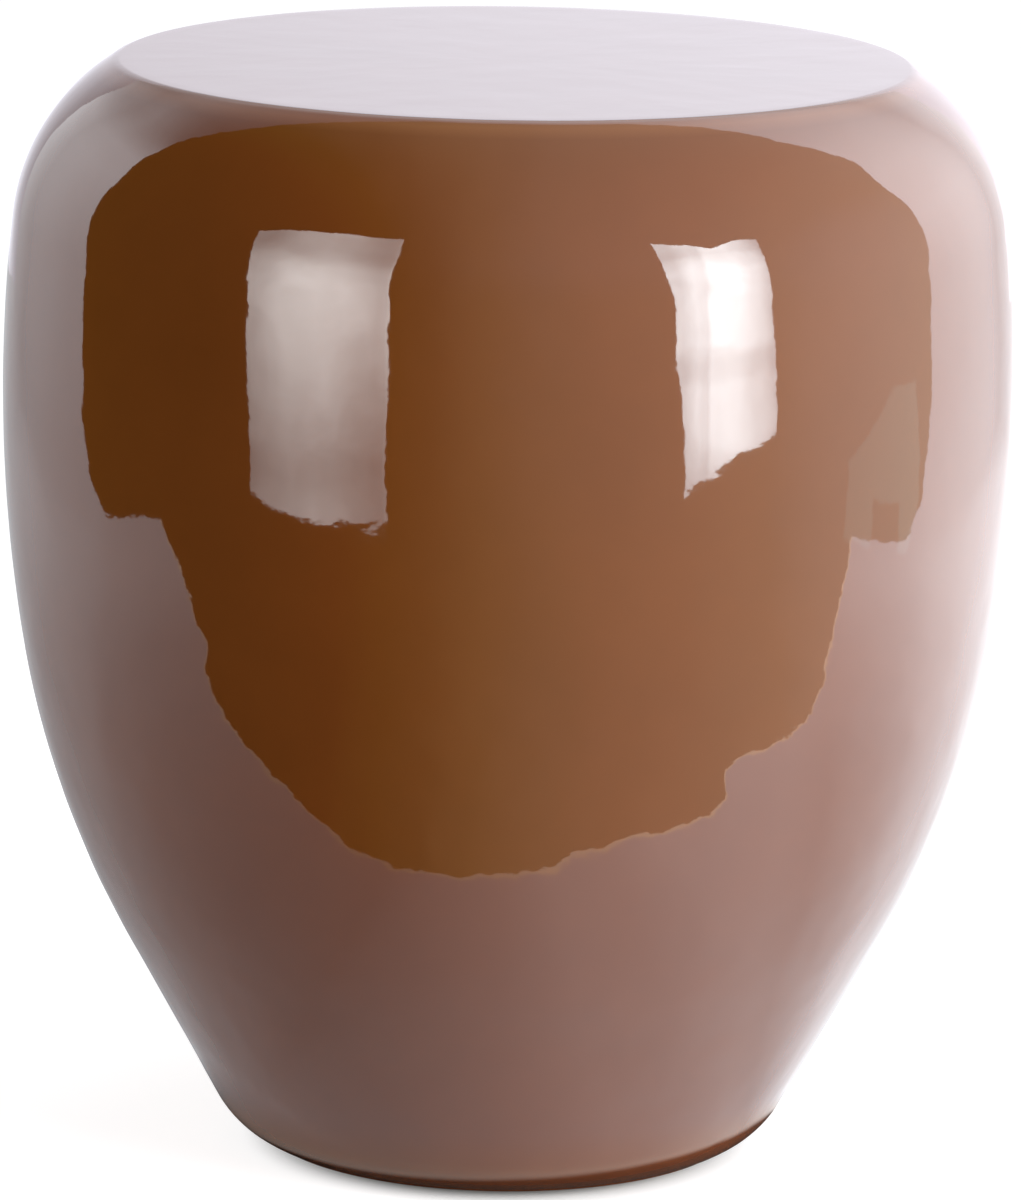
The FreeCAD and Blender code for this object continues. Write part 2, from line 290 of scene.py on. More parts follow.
def runNodes(name, source, tree, values):
    # the tree's result on a source mesh, as a plain mesh object
    maker = linkObject(name + "Maker", source)
    modifier = maker.modifiers.new("nodes", "NODES")
    modifier.node_group = tree
    for item in tree.interface.items_tree:
        if item.item_type == "SOCKET" and item.in_out == "INPUT" and item.name in values:
            modifier[item.identifier] = values[item.name]
    graph = bpy.context.evaluated_depsgraph_get()
    mesh = bpy.data.meshes.new_from_object(maker.evaluated_get(graph))
    mesh.name = name
    bpy.data.objects.remove(maker)
    piece = linkObject(name, mesh)
    print(name, "made:", len(mesh.polygons), "faces")
    return piece


# Glaze

glaze = {
    "darkCloud": "#7B3F1B",  # fired iron brown, slightly clouded
    "paleCloud": "#87471F",
    "thinColour": "#97582F",  # where the glaze breaks thin over the rim
    "poolColour": "#6E3A1B",  # where it runs thick at the foot
    # iron specks; in the pinholes the same colour is painted shade
    "speckColourAndPitShade": "#4A230F",
    "cloud": 55.56,  # mm
    "speckCell": 40.0,  # mm; some cells hold one speck or pinhole
    "speckReach": 0.018,  # the largest one, as a share of its cell
    "pitDepth": 0.2,  # mm
    "peel": 4.0,  # mm, orange peel
    "peelDepth": 0.013,
    "roughness": 0.03,
    "ior": 1.54,
    "longWave": 34.0,  # mm, slow unevenness of the dipped coat
    "longDepth": 0.17,
    "shortWave": 13.0,  # mm, ripples on it
    "shortDepth": 0.075,
    "runsFrom": 255.0,  # below this height the coat runs and gathers into stronger waves
    "runsOver": 60.0,
    "runs": 0.9,
    "seed": 3.0,
    "segments": 384,
}


def makeGlaze():
    material, tree = newMaterial("glossIronGlaze")
    # gloss iron glaze, dipped and fired: a glassy coat over even brown, thin at the rim
    place = addNode(tree, "ShaderNodeTexCoord").outputs["Object"]
    height = addNode(tree, "ShaderNodeSeparateXYZ", {0: place}).outputs["Z"]
    cloud = addNode(
        tree, "ShaderNodeTexNoise",
        {"Vector": place, "Scale": 1000 / glaze["cloud"], "Detail": 3.0},
    )
    body = addNode(
        tree, "ShaderNodeMix",
        {
            "Factor": cloud.outputs[0], "A": hexColour(glaze["darkCloud"]),
            "B": hexColour(glaze["paleCloud"]),
        },
        data_type="RGBA",
    )
    pooled = addNode(
        tree, "ShaderNodeMapRange",
        {"Value": height, "From Min": 0.006, "From Max": 0.016, "To Min": 1.0, "To Max": 0.0},
    )
    body = addNode(
        tree, "ShaderNodeMix",
        {
            "Factor": pooled.outputs[0], "A": body.outputs["Result"],
            "B": hexColour(glaze["poolColour"]),
        },
        data_type="RGBA",
    )
    top = stool["height"]
    rim = addNode(
        tree, "ShaderNodeMapRange",
        {"Value": height, "From Min": (top - 6.0) * mm, "From Max": (top - 0.1) * mm},
    )
    thin = addNode(tree, "ShaderNodeValToRGB", {"Fac": rim.outputs[0]})
    fillRamp(thin, [(0.0, 0.0), (0.6, 0.8), (0.85, 0.5), (1.0, 0.0)])
    body = addNode(
        tree, "ShaderNodeMix",
        {
            "Factor": thin.outputs[0], "A": body.outputs["Result"],
            "B": hexColour(glaze["thinColour"]),
        },
        data_type="RGBA",
    )
    # iron specks in their own dark colour, and pinholes, where the same dark colour is painted
    # shade in the hole
    cells = addNode(
        tree, "ShaderNodeTexVoronoi", {"Vector": place, "Scale": 1000 / glaze["speckCell"]}
    )
    chance = addNode(tree, "ShaderNodeSeparateColor", {0: cells.outputs["Color"]}).outputs
    size = addNode(
        tree, "ShaderNodeMapRange",
        {"Value": chance[0], "From Min": 0.45, "From Max": 1.0, "To Max": glaze["speckReach"]},
    )
    speckAndPit = addNode(
        tree, "ShaderNodeMath", {0: cells.outputs["Distance"], 1: size.outputs[0]},
        operation="LESS_THAN",
    )
    body = addNode(
        tree, "ShaderNodeMix",
        {
            "Factor": speckAndPit.outputs[0], "A": body.outputs["Result"],
            "B": hexColour(glaze["speckColourAndPitShade"]),
        },
        data_type="RGBA",
    )
    peel = addNode(
        tree, "ShaderNodeTexNoise",
        {"Vector": place, "Scale": 1000 / glaze["peel"], "Detail": 1.0},
    )
    bump = addNode(
        tree, "ShaderNodeBump",
        {"Height": peel.outputs[0], "Strength": 1.0, "Distance": glaze["peelDepth"] * mm},
    )
    pit = addNode(
        tree, "ShaderNodeBump",
        {
            "Height": speckAndPit.outputs[0], "Strength": 0.6, "Distance": glaze["pitDepth"] * mm,
            "Normal": bump.outputs[0],
        },
        invert=True,
    )
    shader = addNode(
        tree, "ShaderNodeBsdfPrincipled",
        {
            "Base Color": body.outputs["Result"], "Roughness": glaze["roughness"],
            "IOR": glaze["ior"], "Normal": pit.outputs[0],
        },
    )
    finishMaterial(tree, shader.outputs[0])
    return material


def glazeRows():
    # down the outside, round the lip where the glaze stops, and back up on the clay; the waves
    # are half as strong on the flat seat and die out in the last 20 mm above the floor
    outer = outline(0.0)
    inner = outline(stool["glazeThickness"] - 0.05, coarse=4.0)
    rows = []
    for r, z in outer:
        share = 0.5 if z > stool["height"] - 0.1 else 1.0
        share += glaze["runs"] * min(1.0, max(0.0, (glaze["runsFrom"] - z) / glaze["runsOver"]))
        rows.append((r, z, share * min(1.0, max(0.0, (z - 6.0) / 14.0))))
    end, back = outer[-1], inner[-1]
    mid = ((end[0] + back[0]) / 2, (end[1] + back[1]) / 2)
    reach = ((end[0] - back[0]) ** 2 + (end[1] - back[1]) ** 2) ** 0.5 / 2
    start = atan2(end[1] - mid[1], end[0] - mid[0])
    for i in range(1, 8):
        rows.append((*along(mid, reach, start - pi * i / 8), 0.0))
    rows += [(r, z, 0.0) for r, z in reversed(inner)]
    return rows


latheTree = lathe()
glazeSkin = makeGlaze()
glazeCoat = runNodes(
    "glazeCoat", rowMesh("glazeRows", glazeRows()), latheTree,
    {
        "Segments": glaze["segments"],
        "Long wave": glaze["longWave"] * mm,
        "Long depth": glaze["longDepth"] * mm,
        "Short wave": glaze["shortWave"] * mm,
        "Short depth": glaze["shortDepth"] * mm,
        "Seed": glaze["seed"],
        "Material": glazeSkin,
    },
)
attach(glazeCoat, "root")
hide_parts("glaze_coat")
print("glaze coat placed")


# Bare stoneware

clay = {
    "dark": "#C9B598",
    "pale": "#D8C6AA",
    "ringColour": "#BFA786",
    "gritColour": "#75614A",
    "cloud": 33.33,  # mm
    "rings": 5.0,  # mm between the turning tool's marks
    "ringDepth": 0.4,
    "grit": 0.7,  # mm, sand in the clay
    "gritDepth": 0.2,
    "gritShare": 0.9,
    "roughness": 0.85,
}


def addGrit(tree, place, body):
    # grains darker than the body, that stand out
    grain = addNode(
        tree, "ShaderNodeTexNoise", {"Vector": place, "Scale": 1000 / clay["grit"], "Detail": 2.0}
    )
    dark = addNode(
        tree, "ShaderNodeMapRange",
        {
            "Value": grain.outputs[0], "From Min": 0.62, "From Max": 0.7,
            "To Max": clay["gritShare"],
        },
    )
    mixed = addNode(
        tree, "ShaderNodeMix",
        {"Factor": dark.outputs[0], "A": body, "B": hexColour(clay["gritColour"])},
        data_type="RGBA",
    )
    return mixed.outputs["Result"], grain.outputs[0]


def addRings(tree, place):
    # what the turning tool leaves: uneven rings round the axis
    xyz = addNode(tree, "ShaderNodeSeparateXYZ", {0: place}).outputs
    flat = addNode(tree, "ShaderNodeCombineXYZ", {0: xyz["X"], 1: xyz["Y"]})
    radius = addNode(tree, "ShaderNodeVectorMath", {0: flat.outputs[0]}, operation="LENGTH")
    section = addNode(tree, "ShaderNodeCombineXYZ", {0: radius.outputs["Value"], 1: xyz["Z"]})
    rings = addNode(
        tree, "ShaderNodeTexNoise",
        {"Vector": section.outputs[0], "Scale": 1000 / clay["rings"], "Detail": 2.0},
    )
    return rings.outputs[0]


def makeStoneware():
    # unglazed fired stoneware, jiggered in a mould and sponged: buff, dry and gritty
    material, tree = newMaterial("unglazedStoneware")
    place = addNode(tree, "ShaderNodeTexCoord").outputs["Object"]
    cloud = addNode(
        tree, "ShaderNodeTexNoise",
        {"Vector": place, "Scale": 1000 / clay["cloud"], "Detail": 4.0},
    )
    body = addNode(
        tree, "ShaderNodeMix",
        {
            "Factor": cloud.outputs[0], "A": hexColour(clay["dark"]), "B": hexColour(clay["pale"]),
        },
        data_type="RGBA",
    )
    rings = addRings(tree, place)
    body = addNode(
        tree, "ShaderNodeMix",
        {"Factor": rings, "A": body.outputs["Result"], "B": hexColour(clay["ringColour"])},
        data_type="RGBA",
    )
    body, grit = addGrit(tree, place, body.outputs["Result"])
    ridges = addNode(
        tree, "ShaderNodeBump",
        {"Height": rings, "Strength": 0.6, "Distance": clay["ringDepth"] * mm},
    )
    bump = addNode(
        tree, "ShaderNodeBump",
        {
            "Height": grit, "Strength": 0.5, "Distance": clay["gritDepth"] * mm,
            "Normal": ridges.outputs[0],
        },
    )
    shader = addNode(
        tree, "ShaderNodeBsdfPrincipled",
        {"Base Color": body, "Roughness": clay["roughness"], "Normal": bump.outputs[0]},
    )
    finishMaterial(tree, shader.outputs[0])
    return material


# Slip in the joint

slip = {
    "dark": "#B59D7C",
    "pale": "#C7B08F",
    # painted shade in the pinholes
    "holeShade": "#8C7455",
    "cloud": 11.11,  # mm
    "pinholes": 2.5,  # mm from one to the next
    "pinholeDepth": 0.2,
    "roughness": 0.75,
}


def makeSlip():
    # fired slip: the same clay, sieved and run into the joint, so finer, darker, full of pinholes
    material, tree = newMaterial("firedSlip")
    place = addNode(tree, "ShaderNodeTexCoord").outputs["Object"]
    cloud = addNode(
        tree, "ShaderNodeTexNoise",
        {"Vector": place, "Scale": 1000 / slip["cloud"], "Detail": 3.0},
    )
    body = addNode(
        tree, "ShaderNodeMix",
        {
            "Factor": cloud.outputs[0], "A": hexColour(slip["dark"]), "B": hexColour(slip["pale"]),
        },
        data_type="RGBA",
    )
    cells = addNode(
        tree, "ShaderNodeTexVoronoi", {"Vector": place, "Scale": 1000 / slip["pinholes"]}
    )
    hole = addNode(
        tree, "ShaderNodeMapRange",
        {"Value": cells.outputs["Distance"], "From Min": 0.1, "From Max": 0.2},
    )
    # the pinholes are darker: painted shade in the holes
    body = addNode(
        tree, "ShaderNodeMix",
        {
            "Factor": hole.outputs[0], "A": hexColour(slip["holeShade"]),
            "B": body.outputs["Result"],
        },
        data_type="RGBA",
    )
    bump = addNode(
        tree, "ShaderNodeBump",
        {"Height": hole.outputs[0], "Strength": 0.7, "Distance": slip["pinholeDepth"] * mm},
    )
    shader = addNode(
        tree, "ShaderNodeBsdfPrincipled",
        {
            "Base Color": body.outputs["Result"], "Roughness": slip["roughness"],
            "Normal": bump.outputs[0],
        },
    )
    finishMaterial(tree, shader.outputs[0])
    return material


stoneware = makeStoneware()
firedSlip = makeSlip()
for name in ("seat_shell", "lower_shell"):
    nodes[name].material_slots[0].material = stoneware
nodes["seam_slip"].material_slots[0].material = firedSlip
print("stoneware and slip finished")


# Clay coil over the joint inside, pressed on with a thumb all the way round

coil = {
    "radius": 9.0,
    "sink": 4.0,  # how far its middle is pressed into the wall
    "inset": 7.5,  # the glaze and the wall together
    "rise": 2.6,  # its middle above the widest line
    "thumb": 24.0,  # mm between thumb marks
    "thumbDepth": 1.6,
    "smear": 7.0,  # mm, what the fingers drag between them
    "smearDepth": 0.35,
    "seed": 11.0,
    "segments": 360,
}


def coilRows():
    # down the back of the coil, which lies on the wall, and up its front
    wallMid = (stool["girthRadius"] - stool["girthArc"], stool["girthHeight"])
    wallCurve = stool["girthArc"] - coil["inset"]
    mid = (
        stool["girthRadius"] - coil["inset"] + coil["sink"], stool["girthHeight"] + coil["rise"],
    )
    reach = dist(wallMid, mid)
    heading = asin((mid[1] - wallMid[1]) / reach)
    spread = acos((wallCurve ** 2 + reach ** 2 - coil["radius"] ** 2) / (2 * wallCurve * reach))
    high = along(wallMid, wallCurve, heading + spread)
    low = along(wallMid, wallCurve, heading - spread)
    rows = [(*high, 0.0)]
    back = arcRows(wallMid, wallCurve, heading + spread, heading - spread, 2.0)
    rows += [(r, z, 0.0) for r, z in back]
    start = atan2(low[1] - mid[1], low[0] - mid[0])
    end = atan2(high[1] - mid[1], high[0] - mid[0]) - 2 * pi
    front = arcRows(mid, coil["radius"], start, end, 0.8)
    for i, (r, z) in enumerate(front, start=1):
        rows.append((r, z, sin(pi * i / len(front)) ** 0.7 if i < len(front) else 0.0))
    return rows


seamCoil = runNodes(
    "seamCoil", rowMesh("coilRows", coilRows()), latheTree,
    {
        "Segments": coil["segments"],
        "Long wave": coil["thumb"] * mm,
        "Long depth": coil["thumbDepth"] * mm,
        "Short wave": coil["smear"] * mm,
        "Short depth": coil["smearDepth"] * mm,
        "Seed": coil["seed"],
        "Material": stoneware,
    },
)
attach(seamCoil, "root")
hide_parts("seam_coil")
print("seam coil placed")


# Felt pads and their adhesive

felt = {
    "dark": "#2E2620",
    "hairColour": "#7A6B5C",
    "hair": 0.222,  # mm
    "hairDepth": 0.3,
    "curl": 2.857,  # mm over which a hair bends
    "radius": 9.0,
    "thickness": 2.7,
    "edge": 0.7,  # rounding of the die-cut edge
    "pitch": 74.0,  # from the stool's axis to a pad's middle
    "angles": (45, 135, 225, 315),
    "tuft": 2.6,  # mm, lumps of wool
    "tuftDepth": 0.14,
    "fibre": 0.9,
    "fibreDepth": 0.1,
    "seed": 20.0,
    "segments": 132,
}


def makeFelt():
    # pressed wool felt, die-cut: matted fibres lying every way, dark brown with paler hairs
    material, tree = newMaterial("pressedWoolFelt")
    place = addNode(tree, "ShaderNodeTexCoord").outputs["Object"]
    bend = addNode(
        tree, "ShaderNodeTexNoise", {"Vector": place, "Scale": 1000 / felt["curl"], "Detail": 2.0}
    )
    swirl = addNode(
        tree, "ShaderNodeVectorMath", {0: bend.outputs["Color"], 1: (0.004, 0.004, 0.004)},
        operation="MULTIPLY",
    )
    swirled = addNode(
        tree, "ShaderNodeVectorMath", {0: place, 1: swirl.outputs[0]}, operation="ADD"
    )
    hair = None
    for turn, squeeze in ((0.4, 0.18), (1.5, 0.22), (2.5, 0.16)):
        # one lay of hairs, drawn out along its own direction
        lay = addNode(
            tree, "ShaderNodeMapping",
            {
                "Vector": swirled.outputs[0], "Rotation": (0.3, 0.2, turn),
                "Scale": (squeeze, 1.0, 1.0),
            },
        )
        strand = addNode(
            tree, "ShaderNodeTexNoise",
            {"Vector": lay.outputs[0], "Scale": 1000 / felt["hair"], "Detail": 1.0},
        ).outputs[0]
        hair = strand if hair is None else addNode(
            tree, "ShaderNodeMath", {0: hair, 1: strand}, operation="MAXIMUM"
        ).outputs[0]
    pale = addNode(tree, "ShaderNodeMapRange", {"Value": hair, "From Min": 0.5, "From Max": 0.78})
    body = addNode(
        tree, "ShaderNodeMix",
        {
            "Factor": pale.outputs[0], "A": hexColour(felt["dark"]),
            "B": hexColour(felt["hairColour"]),
        },
        data_type="RGBA",
    )
    bump = addNode(
        tree, "ShaderNodeBump",
        {"Height": hair, "Strength": 0.9, "Distance": felt["hairDepth"] * mm},
    )
    shader = addNode(
        tree, "ShaderNodeBsdfPrincipled",
        {
            "Base Color": body.outputs["Result"], "Roughness": 0.95, "Sheen Weight": 0.3,
            "Sheen Roughness": 0.5, "Normal": bump.outputs[0],
        },
    )
    finishMaterial(tree, shader.outputs[0])
    return material


film = {
    "milky": "#D9CFB4",
    "clear": "#F0EADA",
    "streak": 0.667,  # mm, what the spreader leaves
    "streakDepth": 0.1,
    "roughness": 0.38,
}


def makeAdhesive():
    # transfer adhesive, cast as a film: milky, tacky and a little streaked by the spreader
    material, tree = newMaterial("transferAdhesive")
    place = addNode(tree, "ShaderNodeTexCoord").outputs["Object"]
    drawn = addNode(tree, "ShaderNodeMapping", {"Vector": place, "Scale": (0.15, 1.0, 1.0)})
    streak = addNode(
        tree, "ShaderNodeTexNoise",
        {"Vector": drawn.outputs[0], "Scale": 1000 / film["streak"], "Detail": 2.0},
    )
    body = addNode(
        tree, "ShaderNodeMix",
        {
            "Factor": streak.outputs[0], "A": hexColour(film["milky"]),
            "B": hexColour(film["clear"]),
        },
        data_type="RGBA",
    )
    bump = addNode(
        tree, "ShaderNodeBump",
        {"Height": streak.outputs[0], "Strength": 0.4, "Distance": film["streakDepth"] * mm},
    )
    shader = addNode(
        tree, "ShaderNodeBsdfPrincipled",
        {
            "Base Color": body.outputs["Result"], "Roughness": film["roughness"],
            "Normal": bump.outputs[0],
        },
    )
    finishMaterial(tree, shader.outputs[0])
    return material


def feltRows():
    # half section of one pad: flat top under the adhesive, rounded edge, flat sole
    edge = felt["edge"]
    reach = felt["radius"] - edge
    top = felt["thickness"]
    rows = [(reach * i / 7, top, 0.0) for i in range(8)]
    rows += [(r, z, 0.6) for r, z in arcRows((reach, top - edge), edge, pi / 2, 0, 0.25)]
    rows += [(felt["radius"], edge + (top - 2 * edge) * (1 - i / 4), 1.0) for i in range(1, 5)]
    rows += [(r, z, 0.8) for r, z in arcRows((reach, edge), edge, 0, -pi / 2, 0.25)]
    rows += [(reach * (1 - i / 16), 0.0, 0.8) for i in range(1, 17)]
    return rows


woolFelt = makeFelt()
adhesive = makeAdhesive()
for number, angle in enumerate(felt["angles"], start=1):
    pad = runNodes(
        "floorPad" + str(number), rowMesh("feltRows", feltRows()), latheTree,
        {
            "Segments": felt["segments"],
            "Long wave": felt["tuft"] * mm,
            "Long depth": felt["tuftDepth"] * mm,
            "Short wave": felt["fibre"] * mm,
            "Short depth": felt["fibreDepth"] * mm,
            "Seed": felt["seed"] + number,
            "Material": woolFelt,
        },
    )
    x, y = along((0.0, 0.0), felt["pitch"] * mm, radians(angle))
    pad.data.transform(Matrix.Translation((x, y, 0.0)))
    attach(pad, "root")
    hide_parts("floor_pad_" + str(number))
    nodes["pad_adhesive_" + str(number)].material_slots[0].material = adhesive
print("felt pads placed")


# Camera at the photograph's place

camera = {
    "back": 3.150,  # metres in front of the stool's axis
    "height": 0.906,
    "tilt": 77.836,
    "pan": -0.033,
    "roll": 0.9,
    "lens": 235.9,  # mm on a sensor 36 mm wide
}


def placeCamera():
    data = bpy.data.cameras.new("camera")
    data.lens = camera["lens"]
    data.sensor_width = 36.0
    shot = linkObject("camera", data)
    shot.matrix_world = (
        Matrix.Translation((0, -camera["back"], camera["height"]))
        @ Matrix.Rotation(radians(camera["pan"]), 4, "Z")
        @ Matrix.Rotation(radians(camera["tilt"]), 4, "X")
        @ Matrix.Rotation(radians(camera["roll"]), 4, "Z")
    )
    bpy.context.scene.camera = shot


placeCamera()


# Studio: pale floor, light tent behind the stool, two windows and a dark warm room in front.
# All but the floor and the lamps show in reflections only. The tent cloth and the room's pale wall
# are cards that glow with painted light and shade. Ramps are (position, grey) stops.

studio = {
    "left": -1.22,  # walls, roof and rear of the tent, metres from the stool's axis
    "right": 1.15,
    "roof": 1.45,
    "rear": 2.2,
    "nearY": 0.25,  # the side walls fall off from here to farY
    "farY": 1.35,
    "leftWall": (1.5, 0.82),  # brightness near and far
    "rightWall": (4.6, 1.95),
    "roofGlow": [(0.0, 0.66), (0.05, 0.64), (0.15, 0.44), (0.45, 0.5), (0.85, 0.74), (1.0, 0.9)],
    "rearGlow": [(0.0, 0.29), (0.33, 0.45), (0.5, 0.54), (0.65, 0.61), (1.0, 0.92)],
    "rearStrength": 3.0,
    "rearColour": (0.9, 0.9, 0.99, 1.0),
    "clothColour": (0.95, 0.98, 1.03, 1.0),
}


def addCard(name, corners, faces, material):
    mesh = bpy.data.meshes.new(name)
    mesh.from_pydata(corners, [], faces)
    mesh.materials.append(material)
    card = linkObject(name, mesh)
    card.visible_camera = False
    card.visible_diffuse = False
    card.visible_transmission = False
    card.visible_volume_scatter = False
    card.visible_shadow = False
    return card


def rampOver(tree, value, low, high, stops, interpolation="LINEAR"):
    # the stops of a ramp laid out over a value, from low to high
    share = addNode(
        tree, "ShaderNodeMapRange", {"Value": value, "From Min": low, "From Max": high}
    )
    ramp = addNode(tree, "ShaderNodeValToRGB", {"Fac": share.outputs[0]})
    fillRamp(ramp, stops)
    ramp.color_ramp.interpolation = interpolation
    return ramp.outputs[0]


def wallLevel(tree, y, share):
    # the tent is lit from the right and falls off to the rear; share is 0 left and 1 right
    far = addNode(
        tree, "ShaderNodeMapRange",
        {"Value": y, "From Min": studio["nearY"], "From Max": studio["farY"]},
    ).outputs[0]
    left, right = [
        addNode(
            tree, "ShaderNodeMix", {"Factor": far, "A": near, "B": distant}, data_type="FLOAT"
        ).outputs[0]
        for near, distant in (studio["leftWall"], studio["rightWall"])
    ]
    level = addNode(
        tree, "ShaderNodeMix", {"Factor": share, "A": left, "B": right}, data_type="FLOAT"
    )
    return level.outputs[0]


def glowMaterial(name, colour, levels):
    # an emission material; levels(tree) makes the values whose product is its strength
    material, tree = newMaterial(name)
    strength, *others = levels(tree)
    for level in others:
        strength = addNode(
            tree, "ShaderNodeMath", {0: strength, 1: level}, operation="MULTIPLY"
        ).outputs[0]
    glow = addNode(tree, "ShaderNodeEmission", {"Color": colour, "Strength": strength})
    finishMaterial(tree, glow.outputs[0])
    return material


def tentLevels(tree):
    # painted light and shade on the glowing white tent cloth: brighter up the walls, darker along
    # the roof and at its left front
    place = addNode(tree, "ShaderNodeTexCoord").outputs["Object"]
    xyz = addNode(tree, "ShaderNodeSeparateXYZ", {0: place}).outputs
    right = addNode(
        tree, "ShaderNodeMapRange",
        {"Value": xyz["X"], "From Min": studio["left"], "From Max": studio["right"]},
        interpolation_type="SMOOTHSTEP",
    ).outputs[0]
    leftRise, rightRise, front, high = [
        addNode(
            tree, "ShaderNodeMapRange",
            {
                "Value": xyz[axis], "From Min": low, "From Max": top,
                "To Min": start, "To Max": end,
            },
        ).outputs[0]
        for axis, low, top, start, end in (
            ("Z", 0.05, 0.9, 1.0, 2.0), ("Z", 0.2, 0.7, 1.0, 1.32),
            ("Y", 0.2, 1.0, 0.12, 1.0), ("Z", 1.1, studio["roof"], 0.0, 1.0),
        )
    ]
    rise = addNode(
        tree, "ShaderNodeMix", {"Factor": right, "A": leftRise, "B": rightRise}, data_type="FLOAT"
    )
    front = addNode(
        tree, "ShaderNodeMix", {"Factor": right, "A": front, "B": 1.0}, data_type="FLOAT"
    )
    roof = rampOver(tree, xyz["X"], studio["left"], studio["right"], studio["roofGlow"])
    roof = addNode(
        tree, "ShaderNodeMath", {0: roof, 1: front.outputs[0]}, operation="MULTIPLY"
    )
    roof = addNode(
        tree, "ShaderNodeMix", {"Factor": high, "A": 1.0, "B": roof.outputs[0]}, data_type="FLOAT"
    )
    return wallLevel(tree, xyz["Y"], right), rise.outputs[0], roof.outputs[0]


def rearLevels(tree):
    # painted light on the rear cloth, brighter towards the right
    place = addNode(tree, "ShaderNodeTexCoord").outputs["Object"]
    x = addNode(tree, "ShaderNodeSeparateXYZ", {0: place}).outputs["X"]
    glow = rampOver(tree, x, studio["left"], studio["right"], studio["rearGlow"])
    return glow, studio["rearStrength"]


def makeTent():
    # the front hem of the cloth, as (x, z, y): it leans back as it rises, curls out at the table
    s = studio
    hem = [(s["left"], z, y) for z, y in (
        (0.0, 0.02), (0.006, 0.14), (0.02, 0.22), (0.05, 0.265), (0.1, 0.29),
        (0.4, 0.345), (0.8, 0.385), (1.33, 0.45),
    )]
    for i in range(1, 7):
        x, z = along((s["left"] + 0.12, s["roof"] - 0.12), 0.12, pi - pi / 2 * i / 6)
        hem.append((x, z, 0.45 - 0.02 * i / 6))
    hem += [(x, s["roof"], y) for x, y in ((-0.8, 0.33), (-0.55, 0.25), (-0.4, 0.22), (0.4, 0.25))]
    for i in range(9):
        x, z = along((s["right"] - 0.35, s["roof"] - 0.35), 0.35, pi / 2 - pi / 2 * i / 8)
        hem.append((x, z, 0.27 + 0.06 * sin(pi * i / 8)))
    hem += [(s["right"], z, y) for z, y in (
        (0.6, 0.255), (0.35, 0.22), (0.18, 0.225), (0.1, 0.205),
        (0.05, 0.18), (0.02, 0.135), (0.007, 0.07), (0.0, -0.03),
    )]
    count = len(hem)
    rear = [(x, s["rear"], z) for x, z, y in hem]
    corners = [(x, y, z) for x, z, y in hem] + rear
    faces = [(i, i + 1, count + i + 1, count + i) for i in range(count - 1)]
    addCard("tentSides", corners, faces, glowMaterial("tentCloth", s["clothColour"], tentLevels))
    rearCloth = glowMaterial("tentRearCloth", s["rearColour"], rearLevels)
    addCard("tentRear", rear, [tuple(range(count))], rearCloth)
    print("tent set")


# Upright panels that face the stool; azimuth 0 is the camera's side, corners are metres across
# and up, and brightness is a ramp up the panel times a ramp across it

softBox = {
    "azimuth": -46,
    "distance": 1.6,
    "corners": [(-0.27, -0.03), (0.60, -0.094), (0.60, 1.40), (-0.41, 1.14)],
    "colour": (1.0, 0.99, 0.97, 1.0),
    "strength": 12.0,
    "acrossRange": (-0.3, 0.6),
    "upRange": (-0.05, 1.2),
    "upward": [
        (0.0, 0.40), (0.06, 0.34), (0.1, 0.35), (0.23, 0.66), (0.36, 0.96), (0.5, 1.0),
        (0.64, 0.86), (0.76, 0.6), (0.85, 0.5), (1.0, 0.5),
    ],
    "sideways": [
        (0.0, 0.5), (0.33, 0.9), (0.48, 1.0), (0.63, 0.9), (0.9, 0.6), (0.97, 0.6), (1.0, 0.75),
    ],
}

dayLight = {
    "azimuth": 48,
    "distance": 1.6,
    "corners": [
        (-0.30, 0.0), (0.25, 0.14), (0.26, 0.80), (0.28, 1.15),
        (0.13, 1.16), (-0.07, 1.08), (-0.44, 1.31), (-0.38, 0.30),
    ],
    "colour": (0.9, 0.97, 1.0, 1.0),
    "strength": 23.0,
    "acrossRange": (-0.45, 0.3),
    "upRange": (0.0, 1.1),
    "upward": [
        (0.0, 0.45), (0.11, 0.72), (0.15, 0.76), (0.21, 0.8), (0.235, 0.72), (0.265, 0.72),
        (0.3, 0.94), (0.7, 1.0), (0.88, 0.8), (0.92, 0.7), (1.0, 0.72),
    ],
    "sideways": [
        (0.0, 0.62), (0.15, 0.62), (0.27, 0.86), (0.36, 0.8), (0.4, 1.0), (0.65, 1.0),
        (0.83, 0.72), (0.95, 0.45),
    ],
}

lowBox = {"left": -0.23, "right": -0.07, "top": 0.07, "foot": -0.02}

alcove = {
    "azimuth": 95,
    "distance": 1.1,
    "corners": [  # a stretch of pale wall that slopes up, less what the low box hides of it
        (-0.4, 0.0), (-0.4, 0.13), (-0.15, 0.22), (0.0, 0.22), (0.04, 0.12), (0.04, 0.05),
        (-0.02, lowBox["foot"]), (lowBox["right"], lowBox["foot"]),
        (lowBox["right"], lowBox["top"]), (lowBox["left"], lowBox["top"]),
        (lowBox["left"], lowBox["foot"]),
    ],
    "colour": (0.45, 1.0, 1.0, 1.0),
    "strength": 0.55,
}


def addPanel(name, panel, material):
    # the panel's UV map holds metres across and up
    a = radians(panel["azimuth"])
    away = panel["distance"]
    corners = [
        (away * sin(a) + across * cos(a), -away * cos(a) + across * sin(a), up)
        for across, up in panel["corners"]
    ]
    card = addCard(name, corners, [tuple(range(len(corners)))], material)
    uv = card.data.uv_layers.new(name="UVMap").data
    for i, corner in enumerate(panel["corners"]):
        uv[i].uv = corner


